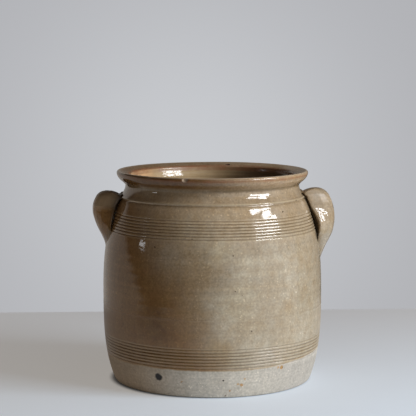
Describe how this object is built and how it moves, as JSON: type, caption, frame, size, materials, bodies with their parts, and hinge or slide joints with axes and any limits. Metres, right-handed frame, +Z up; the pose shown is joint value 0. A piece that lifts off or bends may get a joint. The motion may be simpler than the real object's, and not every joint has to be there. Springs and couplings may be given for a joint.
{
  "type": "confit pot",
  "caption": "Wide stoneware storage pot with a rolled rim, combed bands and a lug ear on each side, glazed down to a bare foot.",
  "frame": {"origin": "middle of the foot's underside, on the pot's axis", "axes": "+Z up along the pot's axis, +X towards the right ear, -Y towards the viewer"},
  "size_m": [0.2801, 0.253, 0.2415],
  "materials": {
    "glazed_stoneware": "gloss glaze over stoneware, bare below the lower combed band",
    "glazed_ear": "gloss glaze over stoneware",
    "fired_slip": "fired slip under glaze"
  },
  "bodies": {
    "root": {"thrown_body": "glazed_stoneware", "left_ear": "glazed_ear", "right_ear": "glazed_ear", "left_ear_upper_slip": "fired_slip", "left_ear_lower_slip": "fired_slip", "right_ear_upper_slip": "fired_slip", "right_ear_lower_slip": "fired_slip"}
  },
  "joints": []
}
